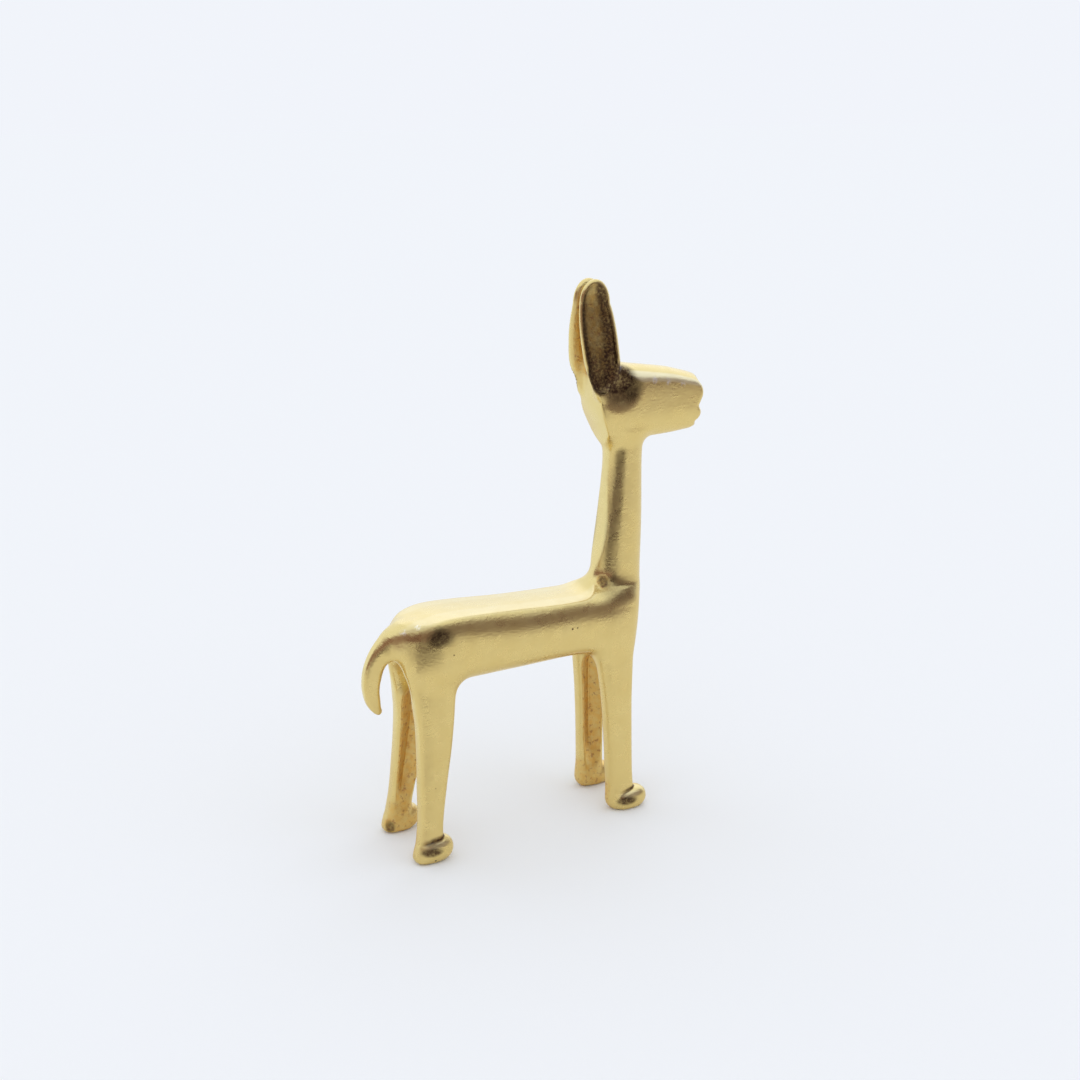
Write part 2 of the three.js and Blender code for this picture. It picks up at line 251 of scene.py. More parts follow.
# Spots of the skin: sides, centre x, y outward, z, radii, how far out in radii the spot starts and where
# it is full, and its strength. The dark patches are painted shade and dark reflections on the haunch,
# rump, withers and shoulder, and a dark spot on the left hind heel.
WITHERS = ((7.3, 1.9, 26.9), (0.55, 0.9, 0.7))
HEEL = ((-16.9, 3.2, 0.9), (0.5, 0.7, 0.7))
SHADE_AND_DARK_PATCHES = [
    (RIGHT, (-13.7, 4.0, 24.7), (1.9, 2.5, 1.2), 1.15, 0.35, 0.92),
    (RIGHT, (-15.2, 3.4, 24.1), (2.7, 2.6, 2.4), 1.15, 0.45, 0.31),
    (BOTH, *WITHERS, 1.3, 0.6, 0.8),
    (BOTH, (8.7, 2.8, 26.1), (2.5, 1.8, 1.6), 1.3, 0.3, 0.45),
    (LEFT, *HEEL, 1.3, 0.6, 0.75),
]
ROUGH_SPOTS = [
    (BOTH, *WITHERS, 1.5, 1.0, 1.0),
    (LEFT, *HEEL, 2.2, 1.0, 1.0),
]
# How far a leg's heel and its top are rounded off.
HIND_HEEL_ROUND, FORE_HEEL_ROUND, LEG_TOP_ROUND = 0.9, 1.5, 1.5


# ---------------------------------------------------------------- smooth solids
def curve(rows, s):
    """A smooth curve through rows of (station, values...), read at stations s."""
    table = np.array(rows, float)
    keys, values = table[:, 0], table[:, 1:]
    slope = np.zeros_like(values)
    slope[1:-1] = (values[2:] - values[:-2]) / (keys[2:] - keys[:-2])[:, None]
    slope[0] = (values[1] - values[0]) / (keys[1] - keys[0])
    slope[-1] = (values[-1] - values[-2]) / (keys[-1] - keys[-2])
    s = np.clip(s, keys[0], keys[-1])
    i = np.clip(np.searchsorted(keys, s, side="right") - 1, 0, len(keys) - 2)
    span = keys[i + 1] - keys[i]
    u = (s - keys[i]) / span
    a = 2 * u**3 - 3 * u**2 + 1
    b = (u**3 - 2 * u**2 + u) * span
    c = 3 * u**2 - 2 * u**3
    d = (u**3 - u**2) * span
    read = []
    for v, m in zip(values.T, slope.T):
        read.append(a * v[i] + b * m[i] + c * v[i + 1] + d * m[i + 1])
    return read


def step(value, start, end):
    """0 at start, 1 at end, smooth between; start may be the larger."""
    t = np.clip((value - start) / (end - start), 0, 1)
    return t * t * (3 - 2 * t)


def ellipse_norm(u, v, power):
    """1 on the superellipse of unit half sizes, less inside it."""
    return (np.abs(u) ** power + np.abs(v) ** power) ** (1 / power)


def rounded(s, start, end, start_round, end_round):
    """The station clamped to a limb's straight run, and how far s is into its rounded ends."""
    low, high = start + start_round, end - end_round
    inside = np.clip(s, low, high)
    beyond = np.where(s < low, (low - s) / start_round, np.where(s > high, (s - high) / end_round, 0))
    return inside, beyond


def smooth_min(a, b, k):
    """The smaller of two distances, with a fillet about k wide where they meet."""
    h = np.maximum(k - np.abs(a - b), 0) / k
    return np.minimum(a, b) - h * h * k / 4


def smooth_max(a, b, k):
    return -smooth_min(-a, -b, k)


def lengthwise(rows, start, end, start_round, end_round):
    """A limb along X whose upper and lower halves have sizes and powers of their own."""

    def norm(x, y, z):
        inside, beyond = rounded(x, start, end, start_round, end_round)
        zc, above, below, half_y, upper, lower = curve(rows, inside)
        v = np.where(z > zc, (z - zc) / above, (z - zc) / below)
        power = np.where(z > zc, upper + 0 * z, lower + 0 * z)
        return np.hypot(ellipse_norm(y / half_y, v, power), beyond)

    return norm


def upright(rows, side=1, start_round=1.0, end_round=1.0, start=None, end=None, out=0.0, thin=0.0):
    """A limb along Z. side is 1 for the left one, -1 for the right one."""
    first = rows[0][0] if start is None else start
    last = rows[-1][0] if end is None else end

    def norm(x, y, z):
        inside, beyond = rounded(z, first, last, start_round, end_round)
        xc, half_x, yc, half_y, power = curve(rows, inside)
        across = ellipse_norm((x - xc) / (half_x - thin), (y - side * (yc + out)) / half_y, power)
        return np.hypot(across, beyond)

    return norm


def ball(centre, radii, power=2.0):
    """An ellipsoid, squarer as its power rises."""

    def norm(x, y, z):
        u = np.abs((x - centre[0]) / radii[0]) ** power
        v = np.abs((y - centre[1]) / radii[1]) ** power
        w = np.abs((z - centre[2]) / radii[2]) ** power
        return (u + v + w) ** (1 / power)

    return norm


def channel(rows, side, low, high, width, depth):
    """A V-shaped channel in the face of a leg that looks at the other leg."""

    def norm(x, y, z):
        inside, beyond = rounded(z, low, high, 1.0, 2.2)
        xc, half_x, yc, half_y, _ = curve(rows, inside)
        deep = half_y * depth * (0.12 + 0.88 * step(z, low, low + 5))
        across = ellipse_norm((x - xc) / (half_x * width), (y - side * (yc - half_y)) / deep, 1.08)
        return np.hypot(across, beyond)

    return norm


def tail_norm(x, y, z):
    """The tail, a strip bent round TAIL_CENTRE, narrower on its outer side towards the root."""
    degrees = np.degrees(np.arctan2(z - TAIL_CENTRE[1], TAIL_CENTRE[0] - x))
    radius = np.hypot(x - TAIL_CENTRE[0], z - TAIL_CENTRE[1])
    first, last = TAIL[0][0], TAIL[-1][0]
    inside = np.clip(degrees, first, last)
    bend, half_r, half_y = curve(TAIL, inside)
    beyond = np.abs(np.radians(degrees - inside)) * radius / 0.25
    depth = (radius - bend) / half_r
    narrow = 1 - 0.3 * step(degrees, 20, 75) * np.clip(depth, -1, 1)
    return np.hypot(ellipse_norm(depth, y / (half_y * narrow), 3.2), beyond)


class Block:
    """A block of signed distances, negative inside the figurine."""

    def __init__(self, low, high):
        self.low = np.array(low, float)
        count = np.ceil((np.array(high) - self.low) / CELL).astype(int) + 1
        self.axes = [self.low[i] + CELL * np.arange(count[i]) for i in range(3)]
        self.d = np.full(count, 9.0, np.float32)

    def window(self, low, high):
        """The slices of the block between two corners, and the x, y and z of their points."""
        spans = []
        for i in range(3):
            first = max(0, int((low[i] - self.low[i]) / CELL))
            last = min(len(self.axes[i]), int((high[i] - self.low[i]) / CELL) + 2)
            spans.append(slice(first, last))
        x, y, z = (self.axes[i][spans[i]] for i in range(3))
        return tuple(spans), x[:, None, None], y[None, :, None], z[None, None, :]

    def distance(self, norm, x, y, z):
        """A norm that is 1 on a solid's skin, turned into a distance by its own slope."""
        value = norm(x, y, z) + np.zeros((x.shape[0], y.shape[1], z.shape[2]))
        gx, gy, gz = np.gradient(value, CELL)
        steep = np.sqrt(gx * gx + gy * gy + gz * gz)
        return ((value - 1) / np.clip(steep, 0.12, 3.0)).astype(np.float32)

    def add(self, norm, low, high, blend):
        """Joins a solid on, inside a window."""
        spans, x, y, z = self.window(low, high)
        self.d[spans] = smooth_min(self.d[spans], self.distance(norm, x, y, z), blend)

    def cut(self, norm, low, high, blend):
        """Takes a solid away, inside a window."""
        spans, x, y, z = self.window(low, high)
        self.d[spans] = smooth_max(self.d[spans], -self.distance(norm, x, y, z), blend)

    def keep(self, signed, low, high, blend):
        """Keeps what is on the negative side of a signed distance function."""
        spans, x, y, z = self.window(low, high)
        self.d[spans] = smooth_max(self.d[spans], signed(x, y, z), blend)


def behind_the_back(x, y, z):
    """Positive above the back and behind the neck: what the flat back and nape cut away."""
    (height,) = curve(BACK, x)
    (rear,) = curve(NAPE, z)
    above = z - height + 0.02 * y * y
    behind = rear - x + 0.05 * y * y
    return smooth_min(above, behind, 3.2)


def above_the_crown(x, y, z):
    """Positive above the top of the head, which is domed across."""
    (height,) = curve(CROWN, x)
    return 0.8 * (z - height + 0.31 * y * y)


def before_the_muzzle(x, y, z):
    """Positive in front of the muzzle's profile, with its nostril notch and mouth slit."""
    (front,) = curve(PROFILE, z)
    return x - front + 0.12 * y * y + 0 * z


def under_the_soles(x, y, z):
    """Positive below the flat soles."""
    return SOLE_Z - z + 0 * x + 0 * y


def leg_channel(rows, side):
    """The channel in a leg's inner face."""
    return channel(rows, side, 2.4, 17.6, 0.87, 1.12)


def ear_scoop(side):
    """The hollow in an ear's outer face."""
    rows = [(z, x - SCOOP_BACK, *rest) for z, x, *rest in EAR]
    return upright(rows, side, 3.0, 2.4, SCOOP_LOW, SCOOP_HIGH, SCOOP_OUT, SCOOP_RIM)


def lobe(shape, side):
    """The bean-shaped pad of a foot, tilted up at the front."""
    centre, radii = shape
    body = ball((0, side * centre[1], 0), radii, 2.25)

    def norm(x, y, z):
        along = (x - centre[0]) * math.cos(LOBE_TILT) + (z - centre[2]) * math.sin(LOBE_TILT)
        across = (z - centre[2]) * math.cos(LOBE_TILT) - (x - centre[0]) * math.sin(LOBE_TILT)
        return body(along, y, across)

    return norm


def figurine():
    """The whole figurine: each solid is added or cut inside a window, blended over the last number."""
    block = Block(
        (cad_low[0] / MM - MARGIN, cad_low[1] / MM - MARGIN, -MARGIN),
        (cad_high[0] / MM + MARGIN, cad_high[1] / MM + MARGIN, cad_high[2] / MM + MARGIN),
    )
    block.add(lengthwise(TORSO, RUMP + 0.3, CHEST - 1.5, 4.4, 3.4), (-20, -6, 15), (14, 6, 30), 0.01)
    neck_rows = [(z, x, half_x, 0, half_y, power) for z, x, half_x, half_y, power in NECK]
    block.add(upright(neck_rows, 1, 2.0, 0.5), (4.5, -6, 17), (16, 6, 46), 2.0)
    block.add(lengthwise(HEAD, 5.6, MUZZLE + 0.6, 1.2, 0.6), (3.5, -5, 40), (23, 5, 53), 1.2)
    block.keep(above_the_crown, (8.2, -5, 46), (23, 5, 54), 0.15)
    block.keep(before_the_muzzle, (17, -5, 41), (23, 5, 52), 0.5)
    block.keep(behind_the_back, (-20, -6, 22), (12, 6, 54), 0.1)
    for side in BOTH:
        for rows, heel_round, x0, x1 in (
            (HIND_LEG, HIND_HEEL_ROUND, -20, -8),
            (FORE_LEG, FORE_HEEL_ROUND, 3, 14),
        ):
            block.add(upright(rows, side, heel_round, LEG_TOP_ROUND), (x0, -7, -1), (x1, 7, 26), 1.7)
            block.cut(leg_channel(rows, side), (x0, -7, 1), (x1, 7, 20), 0.15)
        block.add(upright(EAR, side, 1.0, 2.6), (2.5, -5, 45), (12, 5, 61.2), 0.5)
        centre, radii = TEMPLE
        block.cut(ball((centre[0], side * centre[1], centre[2]), radii), (4, -6, 44), (13, 6, 52), 1.0)
        block.cut(ear_scoop(side), (2.5, -5, 46), (12, 5, 61.2), 0.15)
        block.add(lobe(HIND_LOBE, side), (-19, -7, -1), (-10, 7, 4.5), 0.12)
        block.add(lobe(FORE_LOBE, side), (5, -7, -1), (14, 7, 4.5), 0.12)
    block.cut(ball(CROTCH[0], CROTCH[1]), (-21, -4, 14), (-11, 4, 24), 0.6)
    block.add(tail_norm, (-22.5, -4.8, 14.5), (-12, 4.8, 28), 1.0)
    block.keep(under_the_soles, (-30, -10, -2), (30, 10, 1.5), 0.25)
    return block


# ---------------------------------------------------------------- from distances to a mesh
def sample(block, points, values=None):
    """Trilinear reading of the block, or of an array over it, at points in mm."""
    data = block.d if values is None else values
    q = (points - block.low) / CELL
    i = np.clip(np.floor(q).astype(int), 0, np.array(data.shape[:3]) - 2)
    f = q - i
    total = 0
    for dx in (0, 1):
        for dy in (0, 1):
            for dz in (0, 1):
                wx = f[:, 0] if dx else 1 - f[:, 0]
                wy = f[:, 1] if dy else 1 - f[:, 1]
                wz = f[:, 2] if dz else 1 - f[:, 2]
                corner = data[i[:, 0] + dx, i[:, 1] + dy, i[:, 2] + dz]
                weight = wx * wy * wz
                total = total + (corner * weight if corner.ndim == 1 else corner * weight[:, None])
    return total


def surface_nets(block):
    """Vertices in mm and quads of the zero level."""
    d = block.d
    solid = d < 0
    shape = [n - 1 for n in d.shape]
    filled = np.zeros(shape, np.int8)
    corners = [(i, j, k) for i in (0, 1) for j in (0, 1) for k in (0, 1)]
    for i, j, k in corners:
        filled += solid[i : shape[0] + i, j : shape[1] + j, k : shape[2] + k]
    active = (filled > 0) & (filled < 8)
    cells = np.argwhere(active)
    number = np.full(active.shape, -1, np.int64)
    number[active] = np.arange(len(cells))
    total = np.zeros((len(cells), 3))
    count = np.zeros(len(cells))
    value = {}
    for corner in corners:
        i, j, k = (cells + corner).T
        value[corner] = d[i, j, k].astype(float)
    for near in corners:
        for axis in range(3):
            if near[axis]:
                continue
            far = tuple(1 if i == axis else near[i] for i in range(3))
            a, b = value[near], value[far]
            crosses = (a < 0) != (b < 0)
            point = np.zeros((len(cells), 3)) + near
            point[:, axis] += np.where(crosses, a / np.where(crosses, a - b, 1), 0)
            total[crosses] += point[crosses]
            count[crosses] += 1
    vertices = (cells + total / count[:, None]) * CELL + block.low
    quads = []
    for axis in range(3):
        first, second = [i for i in range(3) if i != axis]
        low = [slice(None)] * 3
        high = [slice(None)] * 3
        low[axis], high[axis] = slice(0, -1), slice(1, None)
        starts_in = solid[tuple(low)]
        edges = np.argwhere(starts_in != solid[tuple(high)])
        quad = []
        for a, b in ((-1, -1), (0, -1), (0, 0), (-1, 0)):
            cell = edges.copy()
            cell[:, first] += a
            cell[:, second] += b
            quad.append(number[cell[:, 0], cell[:, 1], cell[:, 2]])
        quad = np.stack(quad, 1)
        inside = starts_in[edges[:, 0], edges[:, 1], edges[:, 2]]
        turned = ~inside if axis != 1 else inside
        quad[turned] = quad[turned][:, ::-1]
        quads.append(quad)
    return vertices, np.concatenate(quads)


def relax(block, vertices, quads, rounds):
    """Evens the vertices out and puts them back on the zero level."""
    grad = np.stack(np.gradient(block.d, CELL), -1)
    a = np.concatenate([quads[:, i] for i in range(4)])
    b = np.concatenate([quads[:, (i + 1) % 4] for i in range(4)])
    degree = np.bincount(a, minlength=len(vertices)) + np.bincount(b, minlength=len(vertices))
    for _ in range(rounds):
        mean = np.zeros_like(vertices)
        for axis in range(3):
            ahead = np.bincount(a, vertices[b, axis], len(vertices))
            behind = np.bincount(b, vertices[a, axis], len(vertices))
            mean[:, axis] = ahead + behind
        vertices = 0.5 * vertices + 0.5 * mean / degree[:, None]
        for _ in range(2):
            g = sample(block, vertices, grad)
            steep = np.maximum((g * g).sum(1), 0.25)
            vertices = vertices - g * (sample(block, vertices) / steep)[:, None]
    g = sample(block, vertices, grad)
    return vertices, g / np.linalg.norm(g, axis=1, keepdims=True)


# ---------------------------------------------------------------- zones of the skin
# A norm is 1 on a solid's skin, so a step between norms from 1 up marks what lies close round the solid.
def near_line(points, line):
    """Distance from each point to a line of straight runs."""
    nearest = np.full(len(points), 9.0)
    for start, end in zip(line[:-1], line[1:]):
        start, run = np.array(start), np.array(end) - np.array(start)
        along = np.clip((points - start) @ run / (run @ run), 0, 1)
        nearest = np.minimum(nearest, np.linalg.norm(points - start - along[:, None] * run, axis=1))
    return nearest


def paint(layer, amount):
    """Raises a layer to an amount wherever it is lower."""
    np.maximum(layer, amount, out=layer)


def paint_ridges(points, layers):
    """Painted highlight along the edges of the brow and of the back."""
    x, y, z = points.T
    brow = step(above_the_crown(x, y, z), -0.34, -0.12) * step(np.abs(y), 1.35, 1.6) * step(x, 10, 11.5)
    spine = step(behind_the_back(x, y, z), -0.22, -0.06) * step(np.abs(y), 1.2, 1.6)
    # Painted highlight on the brow's edge and, fainter, along the back's ridges.
    paint(layers["painted_highlight"], brow * (z > 45))
    paint(layers["painted_highlight"], 0.2 * spine * (z < 27))


def paint_leg(points, layers, side, rows, shape):
    """Rough skin inside a leg, painted shade in the crease over its foot, and on the foot's lip a
    painted highlight over a painted dark reflection.
    """
    x, y, z = points.T
    (lobe_x, lobe_y, lobe_z), _ = shape
    channel_skin = step(leg_channel(rows, side)(x, y, z), 1.22, 1.0)
    paint(layers["cast"], channel_skin * (z < 18))
    by_the_lobe = step(lobe(shape, side)(x, y, z), 1.24, 1.04)
    by_the_leg = step(upright(rows, side)(x, y, z), 1.1, 1.02)
    crease = by_the_lobe * by_the_leg * step(z, 2.0, 2.5)
    crease = crease * (side * y > lobe_y) * step(x, lobe_x - 1.9, lobe_x - 1.3)
    paint(layers["cast"], crease)
    # Painted shade in the crease over the foot.
    paint(layers["dark"], crease)
    # Painted dark reflection under the foot's lip.
    under_lip = ball((lobe_x - 0.85, side * (lobe_y + 1.2), lobe_z + 0.2), (1.3, 0.9, 0.5))(x, y, z)
    paint(layers["dark"], 0.95 * step(under_lip, 1.25, 0.6))
    # Painted highlight on the foot's lip.
    lip = ball((lobe_x - 0.3, side * (lobe_y + 1.0), lobe_z + 0.85), (1.4, 0.6, 0.3))(x, y, z)
    paint(layers["painted_highlight"], 0.4 * step(lip, 1.3, 0.7))
    inner_face = step(side * y, lobe_y - 0.2, lobe_y - 0.8) * (side * y > 0)
    paint(layers["cast"], 0.75 * inner_face * step(z, 4.2, 3.2))


def paint_ear(points, layers, side):
    """The hollow of an ear, with painted shade darkest round its edge and at its foot, and rough skin
    between the ears.
    """
    x, y, z = points.T
    ear_x, ear_long, ear_y, ear_half, _ = curve(EAR, z)
    in_scoop = step(ear_scoop(side)(x, y, z), 1.16, 1.02) * step(z, 47.4, SCOOP_LOW)
    paint(layers["cast"], 0.6 * in_scoop)
    edge = step(np.abs(x - ear_x + 0.3) / ear_long, 0.25, 0.6)
    shadow = 0.5 + 0.46 * edge + 0.4 * step(z, 54, 51)
    # Painted shade in the ear's hollow.
    paint(layers["dark"], np.minimum(shadow, 1) * in_scoop)
    from_rim = (x - ear_x + ear_long) / ear_long
    reach = 0.7 if side > 0 else 0.1
    gap = step(side * y, ear_y + (reach + 0.3) * ear_half, ear_y + reach * ear_half) * (side * y > 0)
    gap = gap * step(from_rim, 0.06, 0.16) * step(from_rim, 2.0, 1.8)
    paint(layers["cast"], gap * step(z, 49.2, 50.2) * step(z, 59, 58))


def paint_temple(points, layers, side):
    """Painted shade in the hollow under an ear, a core in a lighter ring, ending short of the ear's rear
    edge.
    """
    x, y, z = points.T
    core = ball((8.9, side * 2.2, 49.4), (2.1, 1.8, 1.7))(x, y, z)
    ring = ball((9.1, side * 2.2, 48.6), (3.2, 1.8, 2.4))(x, y, z)
    hollow = np.maximum(step(core, 1.35, 0.85), 0.7 * step(ring, 1.1, 0.55))
    # Painted shade in the temple's hollow.
    paint(layers["dark"], hollow * step(x, 6.1, 6.6))


def paint_lines(points, layers, side):
    """Rough skin in the crease of the jaw, and the faint dark reflection painted down the neck."""
    jaw = [(x, side * y, z) for x, y, z in JAW_CREASE]
    paint(layers["cast"], step(near_line(points, jaw), 0.42, 0.2))
    neck = [(x, side * y, z) for x, y, z in PAINTED_NECK_REFLECTION]
    # Painted dark reflection down the side of the neck.
    paint(layers["dark"], 0.42 * step(near_line(points, neck), 1.0, 0.25))


def paint_spots(points, layer, spots):
    """Marks shaped as ellipsoids."""
    for sides, (x, y, z), radii, faint, full, amount in spots:
        for side in sides:
            spot = ball((x, side * y, z), radii)(*points.T)
            paint(layer, amount * step(spot, faint, full))


def zones(points):
    """How far each point lies in rough cast skin, in painted shade, dark reflections and dark spots, and
    in painted highlights.
    """
    layers = {name: np.zeros(len(points)) for name in ("cast", "dark", "painted_highlight")}
    paint_ridges(points, layers)
    for side in BOTH:
        paint_leg(points, layers, side, HIND_LEG, HIND_LOBE)
        paint_leg(points, layers, side, FORE_LEG, FORE_LOBE)
        paint_ear(points, layers, side)
        paint_temple(points, layers, side)
        paint_lines(points, layers, side)
    # Painted shade and dark reflections on the haunch, rump, withers and shoulder; a dark spot on the
    # left hind heel.
    paint_spots(points, layers["dark"], SHADE_AND_DARK_PATCHES)
    paint_spots(points, layers["cast"], ROUGH_SPOTS)
    return layers


# ---------------------------------------------------------------- the pieces
FAR = 1e3
# Quads up to this far outside a box are clipped with it, mm.
CLIP_REACH = 0.5
# How far outside the figurine a cap may lie before it counts as wrong, mm.
CAP_OUTSIDE = 0.04
# How close to a cutting plane a point is near it or on it, and how close two points are one, m.
NEAR_PLANE, ON_PLANE, SAME_POINT = 2e-7, 1e-7, 3e-6
# Each piece's box, low corner and high corner.
REGIONS = {
    "tail": ((-FAR, -FAR, 10), (TAIL_X, FAR, FAR)),
    "torso": ((TAIL_X, -FAR, HIP_Z), (FAR, FAR, NECK_Z)),
    "neck": ((-FAR, -FAR, NECK_Z), (FAR, FAR, JAW_Z)),
    "head": ((-FAR, -FAR, JAW_Z), (FAR, FAR, EAR_Z)),
    "ear_left": ((-FAR, 0, EAR_Z), (FAR, FAR, FAR)),
    "ear_right": ((-FAR, -FAR, EAR_Z), (FAR, 0, FAR)),
}
for end, x_low, x_high in (("fore", 0, FAR), ("hind", TAIL_X, 0)):
    for side, y_low, y_high in (("left", 0, FAR), ("right", -FAR, 0)):
        REGIONS[f"{end}_leg_{side}"] = ((x_low, y_low, HEEL_Z), (x_high, y_high, HIP_Z))
        REGIONS[f"{end}_foot_{side}"] = ((x_low, y_low, -FAR), (x_high, y_high, HEEL_Z))


def store_layers(mesh, layers, normals, used):
    """Puts the zones of the skin and the skin's normals on a piece's vertices."""
    for layer, values in layers.items():
        data = mesh.attributes.new(layer, "FLOAT", "POINT").data
        data.foreach_set("value", values[used].astype(np.float32))
    data = mesh.attributes.new("skin_normal", "FLOAT_VECTOR", "POINT").data
    data.foreach_set("vector", normals[used].astype(np.float32).ravel())


def clip_and_cap(bm, axis, limit, way):
    """Cuts away what lies past a plane and caps the cut; caps get material 1 and a hard edge.

    Cap faces that come out outside the figurine are deleted. A rim stays open where that happens or
    where the fill makes no faces: at the foot of both ears and at the top of both fore legs.
    """
    level = limit * MM
    point = Vector([level if i == axis else 0 for i in range(3)])
    outward = Vector([way if i == axis else 0 for i in range(3)])
    whole = bm.verts[:] + bm.edges[:] + bm.faces[:]
    bmesh.ops.bisect_plane(bm, geom=whole, plane_co=point, plane_no=outward, clear_outer=True, dist=1e-9)
    rim = [vert for vert in bm.verts if abs(vert.co[axis] - level) < NEAR_PLANE]
    bmesh.ops.remove_doubles(bm, verts=rim, dist=SAME_POINT)
    on_plane = {vert for vert in bm.verts if abs(vert.co[axis] - level) < ON_PLANE}
    open_edges = [edge for edge in bm.edges if edge.is_boundary and on_plane.issuperset(edge.verts)]
    for edge in open_edges:
        edge.smooth = False
    filled = bmesh.ops.triangle_fill(bm, use_beauty=True, use_dissolve=False, edges=open_edges)["geom"]
    caps = [face for face in filled if isinstance(face, bmesh.types.BMFace)]
    for face in caps:
        face.material_index = 1
    centres = np.array([face.calc_center_median() for face in caps]).reshape(-1, 3) / MM
    outside = sample(block, centres) > CAP_OUTSIDE if caps else []
    wrong = [face for face, out in zip(caps, outside) if out]
    bmesh.ops.delete(bm, geom=wrong, context="FACES_ONLY")


def clipped_piece(name, vertices, normals, quads, layers, region):
    """The part of the surface inside a box, with the box's cuts capped by clip_and_cap."""
    low, high = np.array(region[0], float), np.array(region[1], float)
    near = ((vertices > low - CLIP_REACH) & (vertices < high + CLIP_REACH)).all(1)
    chosen = quads[near[quads].all(1)]
    used, chosen = np.unique(chosen, return_inverse=True)
    chosen = chosen.reshape(-1, 4)
    mesh = bpy.data.meshes.new(name)
    mesh.from_pydata((vertices[used] * MM).tolist(), [], chosen.tolist())
    store_layers(mesh, layers, normals, used)
    bm = bmesh.new()
    bm.from_mesh(mesh)
    for axis in range(3):
        for limit, way in ((low[axis], -1), (high[axis], 1)):
            if abs(limit) < FAR:
                clip_and_cap(bm, axis, limit, way)
    bmesh.ops.recalc_face_normals(bm, faces=bm.faces[:])
    bm.to_mesh(mesh)
    bm.free()
    return mesh


def shade(mesh):
    """Gives the skin the whole figurine's normals, so that joints don't show; caps stay flat."""
    count = len(mesh.loops)
    corner = np.zeros(count, np.int32)
    mesh.loops.foreach_get("vertex_index", corner)
    stored = np.zeros(len(mesh.vertices) * 3, np.float32)
    mesh.attributes["skin_normal"].data.foreach_get("vector", stored)
    normal = stored.reshape(-1, 3)[corner]
    faces = len(mesh.polygons)
    cap = np.zeros(faces, np.int32)
    sizes = np.zeros(faces, np.int32)
    flat = np.zeros(faces * 3, np.float32)
    mesh.polygons.foreach_get("material_index", cap)
    mesh.polygons.foreach_get("loop_total", sizes)
    mesh.polygons.foreach_get("normal", flat)
    on_cap = np.repeat(cap == 1, sizes)
    face_normal = np.repeat(flat.reshape(-1, 3), sizes, axis=0)
    normal = np.where(on_cap[:, None], face_normal, normal)
    normal = normal / np.maximum(np.linalg.norm(normal, axis=1, keepdims=True), 1e-9)
    mesh.polygons.foreach_set("use_smooth", np.ones(faces, bool))
    mesh.polygons.foreach_set("material_index", np.zeros(faces, np.int32))
    mesh.attributes.remove(mesh.attributes["skin_normal"])
    mesh.normals_split_custom_set(normal.tolist())


# ---------------------------------------------------------------- materials
class Shading:
    """Short names for the shader nodes of one node tree."""

    def __init__(self, tree):
        self.nodes, self.links = tree.nodes, tree.links

    def feed(self, socket, value):
        if isinstance(value, bpy.types.NodeSocket):
            self.links.new(value, socket)
        elif isinstance(value, tuple) and socket.type == "RGBA":
            socket.default_value = (*value, 1)
        else:
            socket.default_value = value

    def noise(self, place, scale, detail=2.0, rough=0.5):
        node = self.nodes.new("ShaderNodeTexNoise")
        node.inputs["Scale"].default_value = scale
        node.inputs["Detail"].default_value = detail
        node.inputs["Roughness"].default_value = rough
        self.links.new(place, node.inputs["Vector"])
        return node.outputs["Fac"]

    def remap(self, value, a, b, c=0.0, d=1.0, smooth=False):
        node = self.nodes.new("ShaderNodeMapRange")
        node.interpolation_type = "SMOOTHSTEP" if smooth else "LINEAR"
        for i, v in enumerate((a, b, c, d)):
            node.inputs[i + 1].default_value = v
        self.links.new(value, node.inputs[0])
        return node.outputs[0]

    def maths(self, kind, a, b=0.0):
        node = self.nodes.new("ShaderNodeMath")
        node.operation = kind
        self.feed(node.inputs[0], a)
        self.feed(node.inputs[1], b)
        return node.outputs[0]

    def vector(self, kind, a, b):
        node = self.nodes.new("ShaderNodeVectorMath")
        node.operation = kind
        self.feed(node.inputs[0], a)
        self.feed(node.inputs[1], b)
        return node.outputs[1] if kind == "DISTANCE" else node.outputs[0]

    def mix(self, factor, a, b):
        node = self.nodes.new("ShaderNodeMix")
        node.data_type = "RGBA"
        self.feed(node.inputs[0], factor)
        self.feed(node.inputs[6], a)
        self.feed(node.inputs[7], b)
        return node.outputs[2]

    def attribute(self, name):
        node = self.nodes.new("ShaderNodeAttribute")
        node.attribute_name = name
        return node.outputs["Fac"]

    def bump(self, height, distance, strength, normal=None):
        node = self.nodes.new("ShaderNodeBump")
        node.inputs["Strength"].default_value = strength
        node.inputs["Distance"].default_value = distance
        self.links.new(height, node.inputs["Height"])
        if normal is not None:
            self.links.new(normal, node.inputs["Normal"])
        return node.outputs[0]


# Pinholes and nicks in the right side: centre x, y, z and radius, mm.
PITS = [
    (2.07, -4.1, 23.05, 0.17),
    (2.7, -4.1, 23.06, 0.15),
    (-12.27, -4.0, 22.76, 0.17),
    (-14.86, -4.4, 8.34, 0.11),
    (-14.6, -4.4, 7.8, 0.1),
    (-15.5, -5.4, 0.5, 0.16),
]
# Pale glints along the ridges: centre x, y, z and radius, mm.
GLINTS = [
    (-16.9, -1.6, 25.2, 0.4),
    (-15.5, -2.4, 25.8, 0.35),
    (13.4, -1.95, 48.9, 0.4),
    (15.2, -1.9, 48.6, 0.4),
    (17.2, -1.8, 48.1, 0.35),
]


# Colours of the skin.
GOLD_DEEP, GOLD_LIGHT = (0.75, 0.565, 0.205), (0.775, 0.61, 0.25)
CAST_SKIN, RUST = (0.76, 0.48, 0.13), (0.42, 0.19, 0.08)
